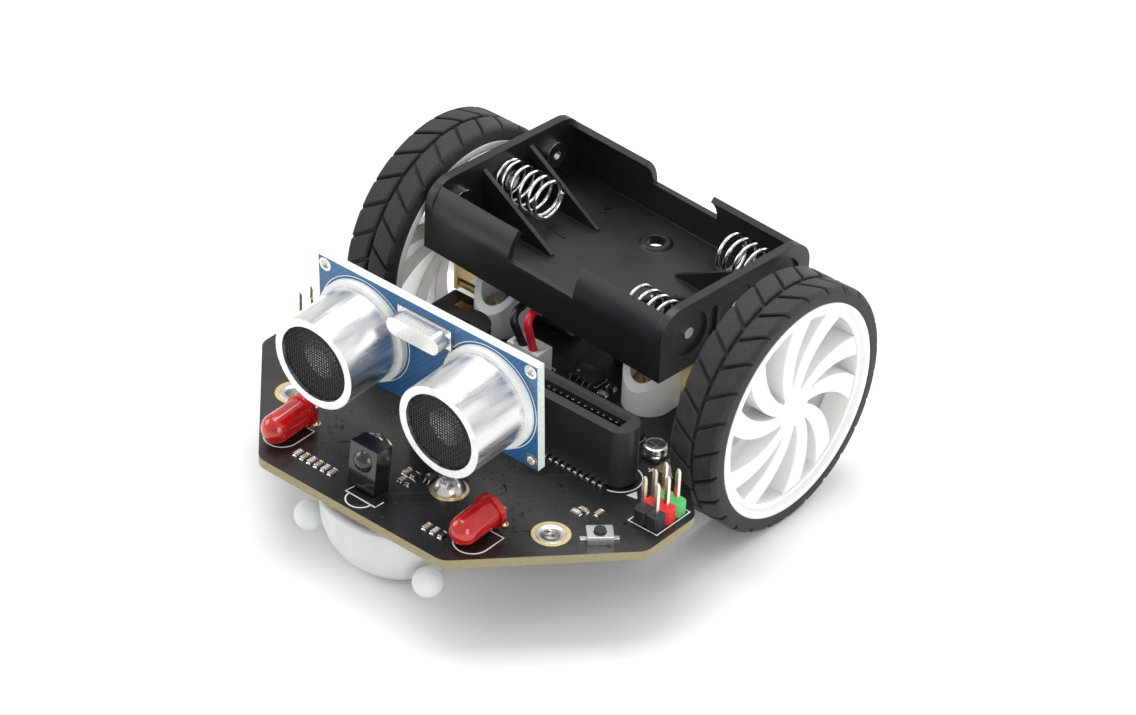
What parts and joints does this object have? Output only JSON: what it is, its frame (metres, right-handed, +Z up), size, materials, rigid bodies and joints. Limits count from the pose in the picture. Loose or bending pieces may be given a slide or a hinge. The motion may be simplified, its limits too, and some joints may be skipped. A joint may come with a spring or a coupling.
{
  "type": "line follower robot",
  "caption": "Small two-wheel robot chassis on a black circuit board, with an ultrasonic ranger, a ball caster, a card slot and an open battery holder.",
  "frame": {"origin": "on the floor, under the middle of the bounding box: 20.65 mm in front of the wheel axle", "axes": "+Z up; the front, with the sonar, faces -Y; the wheel axle lies along X"},
  "size_m": [0.0816, 0.0851, 0.0455],
  "materials": {
    "board_mask": "black solder mask, satin",
    "gold_pad": "gold plated",
    "black_plastic": "moulded, fine texture",
    "holder_plastic": "moulded, satin",
    "sonar_mask": "blue solder mask",
    "can_aluminium": "spun and brushed",
    "mesh_black": "woven wire",
    "white_plastic": "moulded",
    "natural_nylon": "translucent, satin",
    "rim_plastic": "moulded, gloss",
    "tyre_rubber": "matte",
    "tinned": "bright tin plate",
    "steel": "satin",
    "spring_steel": "bright",
    "brass": "machined",
    "red_epoxy": "translucent red",
    "ir_epoxy": "dark filter epoxy",
    "red_plastic": "moulded",
    "green_plastic": "moulded",
    "red_pvc": "wire insulation",
    "black_pvc": "wire insulation",
    "foam": "closed cell, sticky both sides",
    "ceramic": "chip parts with tinned ends",
    "chip_black": "moulded epoxy"
  },
  "bodies": {
    "chassis": {"battery_contacts": "spring_steel", "battery_holder": "holder_plastic", "battery_lead_black": "black_pvc", "battery_lead_red": "red_pvc", "battery_plug": "white_plastic", "battery_socket": "white_plastic", "battery_springs": "spring_steel", "bracket_nuts": "brass", "bracket_screws": "steel", "button_frame": "steel", "buzzer": "black_plastic", "caster_housing": "natural_nylon", "caster_screws": "steel", "chips": "chip_black", "colour_lamps": "white_plastic", "component_leads": "tinned", "edge_connector": "black_plastic", "edge_contacts": "tinned", "foam_pads": "foam", "gearbox_left": "brass", "gearbox_right": "brass", "infrared_receiver": "ir_epoxy", "led_lamps": "red_epoxy", "line_sensors": "black_plastic", "main_board": "board_mask", "motor_bracket_left": "white_plastic", "motor_bracket_right": "white_plastic", "motor_can_left": "steel", "motor_can_right": "steel", "motor_end_caps": "white_plastic", "power_switch_case": "steel", "servo_base_ground": "black_plastic", "servo_base_power": "red_plastic", "servo_base_signal": "green_plastic", "servo_pins": "gold_pad", "small_parts": "ceramic", "sonar_bases": "white_plastic", "sonar_board": "sonar_mask", "sonar_cans": "can_aluminium", "sonar_crystal": "tinned", "sonar_meshes": "mesh_black", "sonar_pins": "gold_pad", "sonar_socket": "black_plastic", "storage_capacitor": "black_plastic", "threaded_inserts": "gold_pad"},
    "button": {"button_cap": "black_plastic"},
    "power_slider": {"power_switch_slider": "black_plastic"},
    "caster_roller": {"caster_ball": "natural_nylon"},
    "wheel_left": {"rim_left": "rim_plastic", "tyre_left": "tyre_rubber", "output_shaft_left": "steel"},
    "second_gear_left": {"gear_second_left": "brass"},
    "first_gear_left": {"gear_first_left": "brass"},
    "pinion_left": {"motor_pinion_left": "brass"},
    "wheel_right": {"rim_right": "rim_plastic", "tyre_right": "tyre_rubber", "output_shaft_right": "steel"},
    "second_gear_right": {"gear_second_right": "brass"},
    "first_gear_right": {"gear_first_right": "brass"},
    "pinion_right": {"motor_pinion_right": "brass"}
  },
  "joints": [
    {"name": "wheel_left_spin", "type": "hinge", "parent": "chassis", "child": "wheel_left", "pos_m": [0, 0.02065, 0.0215], "axis": [1, 0, 0], "continuous": true},
    {"name": "second_gear_left_spin", "type": "hinge", "parent": "chassis", "child": "second_gear_left", "pos_m": [0, 0.02318, 0.02296], "axis": [1, 0, 0], "continuous": true},
    {"name": "first_gear_left_spin", "type": "hinge", "parent": "chassis", "child": "first_gear_left", "pos_m": [0, 0.02318, 0.02004], "axis": [1, 0, 0], "continuous": true},
    {"name": "pinion_left_spin", "type": "hinge", "parent": "chassis", "child": "pinion_left", "pos_m": [0, 0.02065, 0.0215], "axis": [1, 0, 0], "continuous": true},
    {"name": "wheel_right_spin", "type": "hinge", "parent": "chassis", "child": "wheel_right", "pos_m": [0, 0.02065, 0.0215], "axis": [1, 0, 0], "continuous": true},
    {"name": "second_gear_right_spin", "type": "hinge", "parent": "chassis", "child": "second_gear_right", "pos_m": [0, 0.02318, 0.02296], "axis": [1, 0, 0], "continuous": true},
    {"name": "first_gear_right_spin", "type": "hinge", "parent": "chassis", "child": "first_gear_right", "pos_m": [0, 0.02318, 0.02004], "axis": [1, 0, 0], "continuous": true},
    {"name": "pinion_right_spin", "type": "hinge", "parent": "chassis", "child": "pinion_right", "pos_m": [0, 0.02065, 0.0215], "axis": [1, 0, 0], "continuous": true},
    {"name": "caster_roll", "type": "hinge", "parent": "chassis", "child": "caster_roller", "pos_m": [0, -0.03005, 0.006], "axis": [1, 0, 0], "continuous": true},
    {"name": "button_push", "type": "slide", "parent": "chassis", "child": "button", "axis": [0, 0, -1], "range_m": [0, 0.00025], "stiffness_N_per_m": 4000},
    {"name": "power_slide", "type": "slide", "parent": "chassis", "child": "power_slider", "axis": [1, 0, 0], "range_m": [0, 0.002]}
  ],
  "couplings": [
    {"joint": "second_gear_left_spin", "follows": "wheel_left_spin", "ratio": -4},
    {"joint": "first_gear_left_spin", "follows": "wheel_left_spin", "ratio": 16},
    {"joint": "pinion_left_spin", "follows": "wheel_left_spin", "ratio": -64},
    {"joint": "second_gear_right_spin", "follows": "wheel_right_spin", "ratio": -4},
    {"joint": "first_gear_right_spin", "follows": "wheel_right_spin", "ratio": 16},
    {"joint": "pinion_right_spin", "follows": "wheel_right_spin", "ratio": -64}
  ]
}
